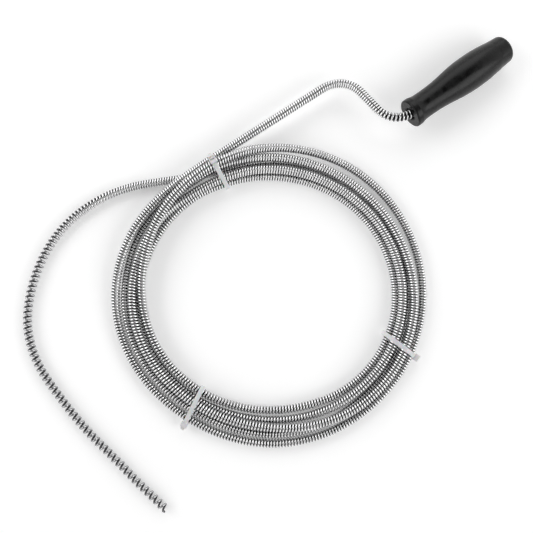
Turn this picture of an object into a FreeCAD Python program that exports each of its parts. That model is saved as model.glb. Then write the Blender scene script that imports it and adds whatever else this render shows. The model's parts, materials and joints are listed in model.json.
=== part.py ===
import FreeCAD, Part
import math
import os
import re

import Sketcher

V = FreeCAD.Vector

# A hand-cranked drain auger laid flat: a ring of spring cable tied in three places, a crank bent into
# one end of the cable over a steel core rod, a grip that turns on the rod, and an open-wound tip.
# Lengths are millimetres and angles are degrees. Until place_all, everything is placed about the
# middle of the ring, with the table at z = 0.
SIZES = {
    # Spring cable and what is inside its crank end
    "cable_diameter": 9.0,
    "wire_diameter": 2.2,
    "core_clearance": 0.1,
    "rod_chamfer": 0.6,
    # Ring of tied cable
    "ring_long_radius": 134.0,
    "ring_short_radius": 127.0,
    "bundle_width": 40.0,
    "bundle_slack": 0.6,
    "bundle_round": 4.4,
    # Cable ties
    "tie_width": 3.8,
    "tie_thickness": 1.2,
    "tie_slack": 0.1,
    "tie_head_height": 6.4,
    "tie_head_width": 5.6,
    "tie_head_depth": 4.4,
    "tie_stub_length": 2.6,
    "tie_past_lead": 2.6,
    # Crank, from the ring to the grip
    "lead_offset": 9.6,
    "lead_sink": 0.6,
    "lead_buried": 30.0,
    "straight_angle": 32.3,
    "straight_length": 177.0,
    "rod_gap": 3.0,
    "knee_height": 17.0,
    "knee_bend": 28.0,
    "arm_angle": -48.3,
    "arm_length": 67.4,
    "elbow_bend": 25.0,
    "neck_length": 19.6,
    "grip_angle": 35.3,
    "grip_tilt": 5.0,
    # Grip, measured along its axis from the front face
    "grip_length": 114.0,
    "collar_radius": 13.9,
    "collar_end": 5.5,
    "collar_round": 1.6,
    "waist_radius": 12.5,
    "waist_start": 14.5,
    "waist_end": 20.0,
    "belly_radius": 16.6,
    "belly_at": 72.0,
    "heel_radius": 14.3,
    "heel_at": 100.0,
    "butt_radius": 13.4,
    "butt_round": 4.0,
    "mouth_clearance": 1.3,
    "mouth_chamfer": 1.0,
    "spring_depth": 24.0,
    "rod_running_clearance": 0.05,
    "nut_pocket_radius": 7.0,
    "nut_pocket_depth": 18.0,
    # Washers, retaining nut and end cap
    "washer_thickness": 1.0,
    "washer_clearance": 0.2,
    "end_float": 0.3,
    "rear_washer_radius": 6.2,
    "nut_radius": 5.6,
    "nut_thickness": 0.8,
    "nut_dish": 1.0,
    "nut_slit_width": 0.9,
    "nut_slits": 6,
    "nut_collar_radius": 3.4,
    "rod_tail": 2.4,
    "cap_plug_length": 5.0,
    "cap_plug_clearance": 0.05,
    "cap_head_radius": 8.6,
    "cap_head_thickness": 1.0,
    "cap_dome": 0.8,
    # Open-wound tail
    "tail_lift": 0.1,
}

# Where the lower ties go round the ring, as angles about the ring's middle from +X. The top tie
# goes where the crank's spring leaves the ring.
TIE_ANGLES = {"tie_left": 235.0, "tie_right": 339.5}

# The ring is two layers of cable high, held off the table by the straps under it. The crank's end
# of the cable leaves it near its top.
RING_BOTTOM = "(tie_thickness + tie_slack)"
BUNDLE_HEIGHT = "(2 * cable_diameter + bundle_slack)"
LEAD_HEIGHT = f"({RING_BOTTOM} + {BUNDLE_HEIGHT} - cable_diameter / 2 - lead_sink)"

# Route of the free tail about the middle of the ring: out from under the ring, round and down to
# the tip. The points are chosen by hand, and each arc stays inside its point.
TAIL_ROUTE = [
    (-67.8, 113.7), (-101.7, 109.3), (-137.6, 103.6), (-170.6, 89.6), (-200.6, 65.9),
    (-221.9, 33.9), (-233.6, -2.0), (-236.0, -35.9), (-225.8, -68.9), (-203.5, -100.8),
    (-177.3, -133.3), (-150.7, -158.9), (-125.8, -185.2), (-100.7, -208.5),
]
RUN_SHARE = 0.45

document = FreeCAD.newDocument("drain_auger")
sheet = document.addObject("Spreadsheet::Sheet", "Sizes")


def write_sheet():
    """Puts every driving size in the sheet, beside its name."""
    for row, (name, value) in enumerate(SIZES.items(), start=1):
        sheet.set(f"A{row}", name)
        sheet.set(f"B{row}", str(value))
        sheet.setAlias(f"B{row}", name)
    document.recompute()


def worth(expression):
    """The value of an expression on the sheet's names."""
    return float(sheet.evalExpression(expression))


def bound(expression):
    """The same expression as another object of the document says it."""
    return re.sub(r"[a-z]\w+", lambda word: f"Sizes.{word.group()}", expression)


# ---- helpers for bodies and sketches -----------------------------------------------------------


def new_body(name):
    body = document.addObject("PartDesign::Body", name)
    body.Label = name
    return body


def new_sketch(body, name, plane):
    sketch = body.newObject("Sketcher::SketchObject", name)
    planes = [p for p in body.Origin.OriginFeatures if p.Role == plane]
    sketch.AttachmentSupport = [(planes[0], "")]
    sketch.MapMode = "FlatFace"
    return sketch


def drive(sketch, kind, where, expression):
    """Adds a dimension to a sketch and binds it to the sheet."""
    index = sketch.addConstraint(Sketcher.Constraint(kind, *where, worth(expression)))
    sketch.setExpression(f"Constraints[{index}]", bound(expression))


def pin_corner(sketch, edge, end, across, up):
    """Fixes an edge's end at two expressions, where None means on that axis."""
    if across is None:
        sketch.addConstraint(Sketcher.Constraint("PointOnObject", edge, end, -2))
    else:
        drive(sketch, "DistanceX", (-1, 1, edge, end), across)
    if up is None:
        sketch.addConstraint(Sketcher.Constraint("PointOnObject", edge, end, -1))
    else:
        drive(sketch, "DistanceY", (-1, 1, edge, end), up)


def sketch_outline(sketch, corners):
    """Draws a closed outline. Each corner is (across, up) or (across, up, radius, side): with a
    radius, the edge to the next corner is an arc that bulges to the left (+1) or right (-1)."""
    count = len(corners)
    spots = [V(*(0.0 if c is None else worth(c) for c in corner[:2])) for corner in corners]
    first = sketch.GeometryCount
    for i, corner in enumerate(corners):
        start = spots[i]
        end = spots[(i + 1) % count]
        if len(corner) == 2:
            sketch.addGeometry(Part.LineSegment(start, end), False)
            continue
        radius = worth(corner[2])
        chord = end - start
        left = V(-chord.y, chord.x).normalize() * corner[3]
        rise = radius - math.sqrt(radius ** 2 - (chord.Length / 2) ** 2)
        sketch.addGeometry(Part.Arc(start, (start + end) / 2 + left * rise, end), False)
    # An arc keeps its ends in the counter-clockwise order, whichever way it was drawn.
    starts = []
    ends = []
    for i in range(count):
        near = (sketch.getPoint(first + i, 1) - spots[i]).Length
        forward = near < (sketch.getPoint(first + i, 2) - spots[i]).Length
        starts.append(1 if forward else 2)
        ends.append(2 if forward else 1)
    for i in range(count):
        after = (i + 1) % count
        joint = (first + i, ends[i], first + after, starts[after])
        sketch.addConstraint(Sketcher.Constraint("Coincident", *joint))
    for i, corner in enumerate(corners):
        pin_corner(sketch, first + i, starts[i], corner[0], corner[1])
        if len(corner) == 4:
            drive(sketch, "Radius", (first + i,), corner[2])


def sketch_circle(sketch, radius):
    """Draws a circle about the sketch's origin."""
    index = sketch.addGeometry(Part.Circle(V(), V(0, 0, 1), worth(radius)), False)
    sketch.addConstraint(Sketcher.Constraint("Coincident", index, 3, -1, 1))
    drive(sketch, "Radius", (index,), radius)


def revolve(body, name, corners):
    """Turns an outline in the body's XZ plane once about the body's Z axis."""
    sketch = new_sketch(body, f"{name}_outline", "XZ_Plane")
    sketch_outline(sketch, corners)
    turned = body.newObject("PartDesign::Revolution", f"{name}_turned")
    turned.Profile = sketch
    turned.ReferenceAxis = (sketch, ["V_Axis"])
    turned.Angle = 360.0
    body.Tip = turned
    document.recompute()
    return turned


# ---- crank frame: where the crank's corners and the grip's axis are ------------------------------


def on_ring(long_radius, short_radius, heading):
    """The point of an upright ellipse whose outward normal has that heading."""
    turn = math.radians(heading)
    reach = V(long_radius ** 2 * math.cos(turn), short_radius ** 2 * math.sin(turn))
    return reach / math.hypot(long_radius * math.cos(turn), short_radius * math.sin(turn))


def heading_vector(heading, fall=0.0):
    """A unit vector at that heading, falling by that angle."""
    turn = math.radians(heading)
    drop = math.radians(fall)
    return V(math.cos(turn) * math.cos(drop), math.sin(turn) * math.cos(drop), -math.sin(drop))


def heel_sweep():
    """Radius of the arc along the grip from its belly to its heel, level at the belly."""
    return "((heel_at - belly_at) ^ 2 + (belly_radius - heel_radius) ^ 2) / (2 * (belly_radius - heel_radius))"


def front_height():
    """Height of the middle of the grip's front face when the grip's belly rests on the table."""
    tilt = math.radians(worth("grip_tilt"))
    sweep = worth(heel_sweep())
    along = worth("belly_at") * math.sin(tilt)
    return along + (worth("belly_radius") - sweep) * math.cos(tilt) + sweep


def crank_corners():
    """The crank's centreline: tangent point on the ring, knee, elbow and middle of the grip's front."""
    offset = worth("lead_offset")
    radii = worth("ring_long_radius") + offset, worth("ring_short_radius") + offset
    tangent = on_ring(*radii, worth("straight_angle") + 90)
    axis = grip_axis()
    straight = heading_vector(worth("straight_angle")) * worth("straight_length")
    arm = heading_vector(worth("arm_angle")) * worth("arm_length")
    neck = axis * worth("neck_length")
    height = front_height()
    tangent.z = worth(LEAD_HEIGHT)
    knee = tangent + straight
    knee.z = worth("knee_height")
    elbow = knee + arm
    elbow.z = height - neck.z
    return tangent, knee, elbow, elbow + neck


def grip_axis():
    return heading_vector(worth("grip_angle"), worth("grip_tilt"))


def on_grip_axis(distance=0.0):
    """Placement of a piece on the grip's axis, its own Z along the axis towards the butt."""
    front = crank_corners()[3]
    turned = FreeCAD.Rotation(V(0, 0, 1), grip_axis())
    return FreeCAD.Placement(front + grip_axis() * distance, turned)


# ---- swept pieces --------------------------------------------------------------------------------


def rounded_route(points, radii):
    """A wire of straight runs joined by tangent arcs, one radius for each inner point."""
    edges = []
    last = points[0]
    for i, radius in enumerate(radii, start=1):
        back = (points[i - 1] - points[i]).normalize()
        ahead = (points[i + 1] - points[i]).normalize()
        half_turn = (math.pi - back.getAngle(ahead)) / 2
        reach = radius * math.tan(half_turn)
        inset = radius / math.cos(half_turn) - radius
        middle = points[i] + (back + ahead).normalize() * inset
        begin = points[i] + back * reach
        finish = points[i] + ahead * reach
        edges.append(Part.LineSegment(last, begin).toShape())
        edges.append(Part.Arc(begin, middle, finish).toShape())
        last = finish
    edges.append(Part.LineSegment(last, points[-1]).toShape())
    return Part.Wire(edges)


def free_radii(points):
    """Radii of a free cable's bends: each as large as its two runs allow."""
    radii = []
    for before, corner, after in zip(points, points[1:], points[2:]):
        half_turn = (math.pi - (before - corner).getAngle(after - corner)) / 2
        run = min((before - corner).Length, (after - corner).Length)
        radii.append(RUN_SHARE * run / math.tan(half_turn))
    return radii


def sweep_round(name, route, radius):
    """Sweeps a round section of that radius along a route."""
    path = document.addObject("Part::Feature", f"{name}_route")
    path.Shape = route
    section = document.addObject("Part::Circle", f"{name}_section")
    section.setExpression("Radius", bound(radius))
    start = route.Edges[0]
    section.Placement = FreeCAD.Placement(
        start.valueAt(start.FirstParameter),
        FreeCAD.Rotation(V(0, 0, 1), start.tangentAt(start.FirstParameter)),
    )
    swept = document.addObject("Part::Sweep", f"{name}_swept")
    swept.Sections = [section]
    swept.Spine = (path, [f"Edge{i + 1}" for i in range(len(route.Edges))])
    swept.Solid = True
    document.recompute()
    if abs(swept.Shape.Volume / (math.pi * worth(radius) ** 2 * route.Length) - 1) > 0.005:
        raise ValueError(f"{name} has the wrong volume for its route")
    return swept


def make_cable_tail():
    """The free cable from under the ring to its tip, as its outer shape."""
    height = worth("cable_diameter / 2 + tail_lift")
    points = [V(x, y, height) for x, y in TAIL_ROUTE]
    radii = free_radii(points)
    print("tail bend radii", [round(r) for r in radii])
    route = rounded_route(points, radii)
    print("tail length", round(route.Length, 1))
    last_run = route.Edges[-1]
    print("tip", route.Edges[-1].Vertexes[-1].Point, "straight for", round(last_run.Length, 2))
    tail = sweep_round("cable_tail", route, "cable_diameter / 2")
    tail.Label = "cable_tail"
    return tail


def crank_route(start_distance, depth):
    """The crank's centreline from that far along its straight stretch to that deep in the grip."""
    tangent, knee, elbow, front = crank_corners()
    start = tangent + (knee - tangent).normalize() * start_distance
    end = front + grip_axis() * depth
    return rounded_route([start, knee, elbow, end], [worth("knee_bend"), worth("elbow_bend")])


def make_crank_spring():
    """The close-wound spring over the crank, as a tube with room for the rod inside."""
    route = crank_route(worth("lead_buried"), worth("spring_depth"))
    print("crank spring length", round(route.Length, 1))
    outside = sweep_round("crank_spring_outside", route, "cable_diameter / 2")
    inside = sweep_round("crank_spring_inside", route, "cable_diameter / 2 - wire_diameter")
    spring = document.addObject("Part::Cut", "crank_spring")
    spring.Base = outside
    spring.Tool = inside
    spring.Label = "crank_spring"
    return spring


ROD_RADIUS = "(cable_diameter / 2 - wire_diameter - core_clearance)"
REAR_WALL = "(grip_length - nut_pocket_depth)"
NUT_FACE = f"({REAR_WALL} + end_float + washer_thickness)"


def rod_start():
    """How far along the crank's straight stretch the rod starts, where it is clear of the ring."""
    beside = worth(f"ring_long_radius + bundle_width / 2 + {ROD_RADIUS} + rod_gap")
    tangent = worth("ring_long_radius + lead_offset")
    return math.sqrt(beside**2 - tangent**2)


def make_core_rod():
    """The bent rod inside the crank, which runs on through the grip as its spindle."""
    rod_end = worth(f"{NUT_FACE} + nut_thickness + nut_dish + rod_tail")
    route = crank_route(rod_start(), rod_end)
    print("core rod length", round(route.Length, 1))
    swept = sweep_round("core_rod", route, ROD_RADIUS)
    ends = []
    for index, edge in enumerate(swept.Shape.Edges, start=1):
        for spot in (route.Edges[0].Vertexes[0].Point, route.Edges[-1].Vertexes[-1].Point):
            closed = len(edge.Vertexes) == 1 or edge.isClosed()
            if closed and (edge.CenterOfMass - spot).Length < worth("rod_chamfer"):
                ends.append((index, worth("rod_chamfer"), worth("rod_chamfer")))
    rod = document.addObject("Part::Chamfer", "core_rod")
    rod.Base = swept
    rod.Edges = ends
    rod.Label = "core_rod"
    return rod


# ---- grip ----------------------------------------------------------------------------------------


def rise_sweep():
    """Radius of the two arcs that carry the grip from its waist up to its belly."""
    half_run = "((belly_at - waist_end) / 2)"
    half_rise = "((belly_radius - waist_radius) / 2)"
    return f"({half_run} ^ 2 + {half_rise} ^ 2) / (2 * {half_rise})"


def collar_sweep():
    """Radius of the hollow arc behind the collar, level at the waist."""
    run = "(waist_start - collar_end)"
    drop = "(collar_radius - waist_radius)"
    return f"({run} ^ 2 + {drop} ^ 2) / (2 * {drop})"


def make_grip_shell():
    """The turned outside of the grip and its stepped bore, in one outline."""
    mouth = "(cable_diameter / 2 + mouth_clearance)"
    step = "(spring_depth + washer_thickness + 2 * end_float)"
    rod_bore = f"({ROD_RADIUS} + rod_running_clearance)"
    corners = [
        (f"{mouth} + mouth_chamfer", None),
        ("collar_radius - collar_round", None, "collar_round", -1),
        ("collar_radius", "collar_round"),
        ("collar_radius", "collar_end", collar_sweep(), 1),
        ("waist_radius", "waist_start"),
        ("waist_radius", "waist_end", rise_sweep(), 1),
        ("(waist_radius + belly_radius) / 2", "(waist_end + belly_at) / 2", rise_sweep(), -1),
        ("belly_radius", "belly_at", heel_sweep(), -1),
        ("heel_radius", "heel_at"),
        ("butt_radius", "grip_length - butt_round", "butt_round", -1),
        ("butt_radius - butt_round", "grip_length"),
        ("nut_pocket_radius", "grip_length"),
        ("nut_pocket_radius", REAR_WALL),
        (rod_bore, REAR_WALL),
        (rod_bore, step),
        (mouth, step),
        (mouth, "mouth_chamfer"),
    ]
    grip = new_body("grip_shell")
    revolve(grip, "grip_shell", corners)
    grip.Placement = on_grip_axis()
    return grip


def make_grip_end_cap():
    """The plug in the grip's butt: a short plug under a thin domed head."""
    half_head = "cap_head_radius"
    dome = f"({half_head} ^ 2 + cap_dome ^ 2) / (2 * cap_dome)"
    plug = "(nut_pocket_radius - cap_plug_clearance)"
    top = "(cap_plug_length + cap_head_thickness)"
    corners = [
        (None, None),
        (plug, None),
        (plug, "cap_plug_length"),
        ("cap_head_radius", "cap_plug_length"),
        ("cap_head_radius", top, dome, -1),
        (None, f"{top} + cap_dome"),
    ]
    cap = new_body("grip_end_cap")
    revolve(cap, "grip_end_cap", corners)
    cap.Placement = on_grip_axis(worth("grip_length - cap_plug_length"))
    return cap


def make_washer(name, outer_radius, distance):
    """A flat washer on the rod, that far along the grip's axis."""
    washer = new_body(name)
    sketch = new_sketch(washer, f"{name}_outline", "XY_Plane")
    sketch_circle(sketch, outer_radius)
    sketch_circle(sketch, f"{ROD_RADIUS} + washer_clearance")
    pad = washer.newObject("PartDesign::Pad", f"{name}_pad")
    pad.Profile = sketch
    pad.setExpression("Length", bound("washer_thickness"))
    washer.Tip = pad
    washer.Placement = on_grip_axis(worth(distance))
    return washer


def make_push_nut():
    """The dished push-on nut that holds the rod's end, with its ring of spring teeth."""
    bite = f"({ROD_RADIUS} + rod_running_clearance)"
    corners = [
        ("nut_collar_radius", None),
        ("nut_radius", None),
        ("nut_radius", "nut_thickness"),
        ("nut_collar_radius", "nut_thickness"),
        (bite, "nut_thickness + nut_dish"),
        (bite, "nut_dish"),
    ]
    nut = new_body("push_nut")
    turned = revolve(nut, "push_nut", corners)
    sketch = new_sketch(nut, "push_nut_slit", "XY_Plane")
    half = "nut_slit_width / 2"
    edges = sketch.addGeometry([
        Part.LineSegment(V(0, -worth(half)), V(worth("nut_collar_radius"), -worth(half))),
        Part.LineSegment(V(worth("nut_collar_radius"), -worth(half)), V(worth("nut_collar_radius"), worth(half))),
        Part.LineSegment(V(worth("nut_collar_radius"), worth(half)), V(0, worth(half))),
        Part.LineSegment(V(0, worth(half)), V(0, -worth(half))),
    ], False)
    for i in range(4):
        sketch.addConstraint(Sketcher.Constraint("Coincident", edges[i], 2, edges[(i + 1) % 4], 1))
    for edge in (edges[0], edges[2]):
        sketch.addConstraint(Sketcher.Constraint("Horizontal", edge))
    for edge in (edges[1], edges[3]):
        sketch.addConstraint(Sketcher.Constraint("Vertical", edge))
    sketch.addConstraint(Sketcher.Constraint("Symmetric", edges[3], 1, edges[3], 2, -1, 1))
    drive(sketch, "Distance", (edges[3],), "nut_slit_width")
    drive(sketch, "Distance", (edges[0],), "nut_collar_radius")
    slit = nut.newObject("PartDesign::Pocket", "push_nut_slit_cut")
    slit.Profile = sketch
    slit.Type = "ThroughAll"
    slit.Midplane = True
    document.recompute()
    if slit.Shape.Volume > turned.Shape.Volume - 0.01:
        raise ValueError("the nut's slit cuts nothing")
    ring = nut.newObject("PartDesign::PolarPattern", "push_nut_slits")
    ring.Originals = [slit]
    ring.Axis = (sketch, ["N_Axis"])
    ring.Angle = 360.0
    ring.setExpression("Occurrences", bound("nut_slits"))
    nut.Tip = ring
    nut.Placement = on_grip_axis(worth(NUT_FACE))
    return nut


# ---- ring and ties -------------------------------------------------------------------------------


def make_oval_slab(name, half_width_sign):
    """An upright oval slab as high as the bundle, grown or shrunk by half the bundle's width."""
    oval = document.addObject("Part::Ellipse", f"{name}_oval")
    change = f"{half_width_sign} bundle_width / 2"
    oval.setExpression("MajorRadius", bound(f"ring_long_radius {change}"))
    oval.setExpression("MinorRadius", bound(f"ring_short_radius {change}"))
    slab = document.addObject("Part::Extrusion", f"{name}_slab")
    slab.Base = oval
    slab.DirMode = "Custom"
    slab.Dir = V(0, 0, 1)
    slab.Solid = True
    slab.setExpression("LengthFwd", bound(BUNDLE_HEIGHT))
    return slab


def make_cable_ring():
    """The outer shape of the tied ring of cable, with its corners as round as the cable."""
    ring = document.addObject("Part::Cut", "cable_ring_square")
    ring.Base = make_oval_slab("cable_ring_outside", "+")
    ring.Tool = make_oval_slab("cable_ring_inside", "-")
    document.recompute()
    ovals = [
        (index, worth("bundle_round"), worth("bundle_round"))
        for index, edge in enumerate(ring.Shape.Edges, start=1)
        if edge.BoundBox.ZLength < worth(BUNDLE_HEIGHT) / 2
    ]
    rounded = document.addObject("Part::Fillet", "cable_ring")
    rounded.Base = ring
    rounded.Edges = ovals
    rounded.Label = "cable_ring"
    rounded.Placement.Base = V(0, 0, worth(RING_BOTTOM))
    return rounded


def strap_corners(inset):
    """A rounded rectangle round the bundle, standing on the table and that far inside the strap."""
    wide = "(bundle_width + 2 * tie_slack + 2 * tie_thickness)"
    high = f"({BUNDLE_HEIGHT} + 2 * tie_slack + 2 * tie_thickness)"
    bend = f"(bundle_round + tie_slack + tie_thickness - {inset})"
    left = f"({inset})"
    right = f"({wide} - {inset})"
    top = f"({high} - {inset})"
    return [
        (f"{left} + {bend}", left),
        (f"{right} - {bend}", left, bend, -1),
        (right, f"{left} + {bend}"),
        (right, f"{top} - {bend}", bend, -1),
        (f"{right} - {bend}", top),
        (f"{left} + {bend}", top, bend, -1),
        (left, f"{top} - {bend}"),
        (left, f"{left} + {bend}", bend, -1),
    ]


def make_tie(name, angle):
    """One cable tie: a strap pulled round the bundle, its locking head and the cut end's stub."""
    tie = new_body(name)
    loop = new_sketch(tie, f"{name}_loop", "XZ_Plane")
    sketch_outline(loop, [(c[0], None if c[1] == "(0)" else c[1], *c[2:]) for c in strap_corners("0")])
    sketch_outline(loop, strap_corners("tie_thickness"))
    strap = tie.newObject("PartDesign::Pad", f"{name}_strap")
    strap.Profile = loop
    strap.Midplane = True
    strap.setExpression("Length", bound("tie_width"))
    document.recompute()
    wall = "(bundle_width + 2 * tie_slack + tie_thickness)"
    middle = f"({BUNDLE_HEIGHT} / 2 + tie_slack + tie_thickness)"
    low = f"({middle} - tie_head_height / 2)"
    high = f"({middle} + tie_head_height / 2)"
    block = new_sketch(tie, f"{name}_head_outline", "XZ_Plane")
    out = f"({wall} + tie_head_depth)"
    sketch_outline(block, [(wall, low), (out, low), (out, high), (wall, high)])
    head = tie.newObject("PartDesign::Pad", f"{name}_head")
    head.Profile = block
    head.Midplane = True
    head.setExpression("Length", bound("tie_head_width"))
    document.recompute()
    ending = new_sketch(tie, f"{name}_stub_outline", "XZ_Plane")
    near = f"({wall} + tie_thickness)"
    far = f"({near} + tie_thickness)"
    tip = f"({high} + tie_stub_length)"
    sketch_outline(ending, [(near, middle), (far, middle), (far, tip), (near, tip)])
    stub = tie.newObject("PartDesign::Pad", f"{name}_stub")
    stub.Profile = ending
    stub.Midplane = True
    stub.setExpression("Length", bound("tie_width"))
    tie.Tip = stub
    tie.Placement = across_ring(angle)
    return tie


def top_tie_angle():
    """Angle of the tie that holds the crank's end of the cable to the ring."""
    tangent, knee = crank_corners()[:2]
    spot = tangent + (knee - tangent).normalize() * worth("lead_buried + tie_past_lead")
    return math.degrees(math.atan2(spot.y, spot.x))


def across_ring(angle):
    """Placement of a tie: its X outwards across the bundle, from the strap's inner side."""
    long_radius = worth("ring_long_radius")
    short_radius = worth("ring_short_radius")
    turn = math.radians(angle)
    reach = 1 / math.hypot(math.cos(turn) / long_radius, math.sin(turn) / short_radius)
    middle = V(math.cos(turn), math.sin(turn)) * reach
    normal = V(middle.x / long_radius ** 2, middle.y / short_radius ** 2).normalize()
    inner = middle - normal * worth("bundle_width / 2 + tie_slack + tie_thickness")
    return FreeCAD.Placement(inner, FreeCAD.Rotation(V(1, 0, 0), normal))


# ---- whole object --------------------------------------------------------------------------------


def build():
    """Makes every sub-part and returns those of the handle apart from those of the free cable."""
    write_sheet()
    step = "(spring_depth + end_float)"
    handle = [
        make_grip_shell(),
        make_grip_end_cap(),
        make_core_rod(),
        make_crank_spring(),
        make_washer("front_washer", "cable_diameter / 2", step),
        make_washer("rear_washer", "rear_washer_radius", f"{REAR_WALL} + end_float"),
        make_push_nut(),
    ]
    cable = [make_cable_ring(), make_cable_tail(), make_tie("tie_top", top_tie_angle())]
    cable += [make_tie(name, angle) for name, angle in TIE_ANGLES.items()]
    document.recompute()
    return handle, cable


def place_all(handle, cable):
    """Moves everything so that the origin is under the middle of the handle, on the table."""
    box = FreeCAD.BoundBox()
    for piece in handle:
        box.add(piece.Shape.optimalBoundingBox(False, False))
    shift = V(-box.Center.x, -box.Center.y, -box.ZMin)
    print("shift", shift)
    for piece in handle + cable:
        piece.Placement.Base = piece.Placement.Base + shift
    document.recompute()
    print("grip front", crank_corners()[3] + shift, "grip axis", grip_axis())


def check_all(pieces):
    """Stops on any object that failed to build."""
    for thing in document.Objects:
        if "Invalid" in thing.State or "Error" in thing.State:
            raise ValueError(f"{thing.Name} did not build: {thing.State}")
    for piece in pieces:
        if piece.Shape.isNull() or not piece.Shape.isValid() or len(piece.Shape.Solids) != 1:
            raise ValueError(f"{piece.Label} is not one valid solid")


def write_all(pieces):
    os.makedirs("parts", exist_ok=True)
    for piece in pieces:
        piece.Shape.exportStep(f"parts/{piece.Label}.step")
        print(piece.Label, round(piece.Shape.Volume), "mm3")


handle_pieces, cable_pieces = build()
place_all(handle_pieces, cable_pieces)
check_all(handle_pieces + cable_pieces)
write_all(handle_pieces + cable_pieces)
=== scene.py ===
"""Looks of a hand-cranked drain auger: its wound spring cable, ties, crank and grip.

Everything is in metres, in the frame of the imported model. The cable is one spring of round wire,
wound here in four pieces that follow each other: over the crank, then three lengths of free cable.
"""

import json
import logging
import math
from dataclasses import dataclass
from enum import Enum

import bpy
import numpy as np
from mathutils import Matrix, Vector


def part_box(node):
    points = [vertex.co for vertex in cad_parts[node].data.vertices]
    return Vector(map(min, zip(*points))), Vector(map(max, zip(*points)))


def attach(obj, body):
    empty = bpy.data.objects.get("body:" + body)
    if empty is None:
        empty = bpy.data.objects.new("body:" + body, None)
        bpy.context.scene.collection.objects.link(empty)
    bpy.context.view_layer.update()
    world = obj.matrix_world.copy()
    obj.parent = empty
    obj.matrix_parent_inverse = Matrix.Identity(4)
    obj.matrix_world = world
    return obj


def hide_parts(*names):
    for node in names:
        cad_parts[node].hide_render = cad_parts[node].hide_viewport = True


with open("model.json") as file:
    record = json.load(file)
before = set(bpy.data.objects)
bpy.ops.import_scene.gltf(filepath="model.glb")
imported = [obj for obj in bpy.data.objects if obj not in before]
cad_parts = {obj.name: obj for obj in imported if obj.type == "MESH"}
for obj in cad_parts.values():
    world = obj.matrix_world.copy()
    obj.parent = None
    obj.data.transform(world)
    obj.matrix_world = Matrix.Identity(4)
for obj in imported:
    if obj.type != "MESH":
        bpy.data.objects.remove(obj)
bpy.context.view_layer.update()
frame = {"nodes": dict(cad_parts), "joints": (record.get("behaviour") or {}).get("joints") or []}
MM = 0.001
LOG = logging.getLogger("drain_auger")

# Numbers kept on each vertex of a wire, for its material.
OUTSIDE = "faces_out"
OPEN = "open_wound"

Colour = tuple[float, float, float]


# ---- small helpers -------------------------------------------------------------------------------


def deselect_all() -> None:
    """Leaves nothing selected and no active object."""
    if bpy.context.object and bpy.context.object.mode != "OBJECT":
        bpy.ops.object.mode_set(mode="OBJECT")
    bpy.ops.object.select_all(action="DESELECT")


def make_active(piece: bpy.types.Object) -> None:
    """Selects one object alone.

    Args:
        piece: the object that the next operators act on.
    """
    deselect_all()
    piece.select_set(True)
    bpy.context.view_layer.objects.active = piece


def settle(piece: bpy.types.Object) -> None:
    """Puts an object's place, turn and size into its mesh.

    Args:
        piece: a mesh object.
    """
    make_active(piece)
    bpy.ops.object.transform_apply(location=True, rotation=True, scale=True)


def heading(degrees: float) -> Vector:
    """A level unit vector at that angle from +X.

    Args:
        degrees: the angle, counter-clockwise from above.

    Returns:
        The vector.
    """
    turn = math.radians(degrees)
    return Vector((math.cos(turn), math.sin(turn), 0.0))


# ---- materials -----------------------------------------------------------------------------------

# Where in the blotches' noise a surface goes from clean to worn.
WEAR_SPAN = (0.35, 0.65)


def build_worn_surface() -> bpy.types.NodeTree:
    """Builds the group that breaks up a surface: blotches, fine grain and handling marks.

    Returns:
        The node group, with a colour, a roughness and a height output.
    """
    group = bpy.data.node_groups.new("worn_surface", "ShaderNodeTree")
    for name, kind, default in (
        ("Clean Colour", "NodeSocketColor", (0.5, 0.5, 0.5, 1.0)),
        ("Worn Colour", "NodeSocketColor", (0.4, 0.4, 0.4, 1.0)),
        ("Clean Roughness", "NodeSocketFloat", 0.25),
        ("Worn Roughness", "NodeSocketFloat", 0.4),
        ("Blotch Scale", "NodeSocketFloat", 40.0),
        ("Grain Scale", "NodeSocketFloat", 1500.0),
    ):
        socket = group.interface.new_socket(name=name, in_out="INPUT", socket_type=kind)
        socket.default_value = default
    for name, kind in (
        ("Colour", "NodeSocketColor"),
        ("Roughness", "NodeSocketFloat"),
        ("Height", "NodeSocketFloat"),
    ):
        group.interface.new_socket(name=name, in_out="OUTPUT", socket_type=kind)
    nodes = group.nodes
    links = group.links
    inputs = nodes.new("NodeGroupInput")
    outputs = nodes.new("NodeGroupOutput")
    place = nodes.new("ShaderNodeTexCoord")
    blotch = nodes.new("ShaderNodeTexNoise")
    blotch.inputs["Detail"].default_value = 4.0
    grain = nodes.new("ShaderNodeTexNoise")
    grain.inputs["Detail"].default_value = 2.0
    links.new(place.outputs["Object"], blotch.inputs["Vector"])
    links.new(place.outputs["Object"], grain.inputs["Vector"])
    links.new(inputs.outputs["Blotch Scale"], blotch.inputs["Scale"])
    links.new(inputs.outputs["Grain Scale"], grain.inputs["Scale"])
    spread = nodes.new("ShaderNodeMapRange")
    spread.inputs["From Min"].default_value = WEAR_SPAN[0]
    spread.inputs["From Max"].default_value = WEAR_SPAN[1]
    links.new(blotch.outputs["Fac"], spread.inputs["Value"])
    colour = nodes.new("ShaderNodeMix")
    colour.data_type = "RGBA"
    links.new(spread.outputs["Result"], colour.inputs["Factor"])
    links.new(inputs.outputs["Clean Colour"], colour.inputs[6])
    links.new(inputs.outputs["Worn Colour"], colour.inputs[7])
    rough = nodes.new("ShaderNodeMix")
    links.new(spread.outputs["Result"], rough.inputs["Factor"])
    links.new(inputs.outputs["Clean Roughness"], rough.inputs[2])
    links.new(inputs.outputs["Worn Roughness"], rough.inputs[3])
    links.new(colour.outputs[2], outputs.inputs["Colour"])
    links.new(rough.outputs[0], outputs.inputs["Roughness"])
    links.new(grain.outputs["Fac"], outputs.inputs["Height"])
    return group


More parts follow.
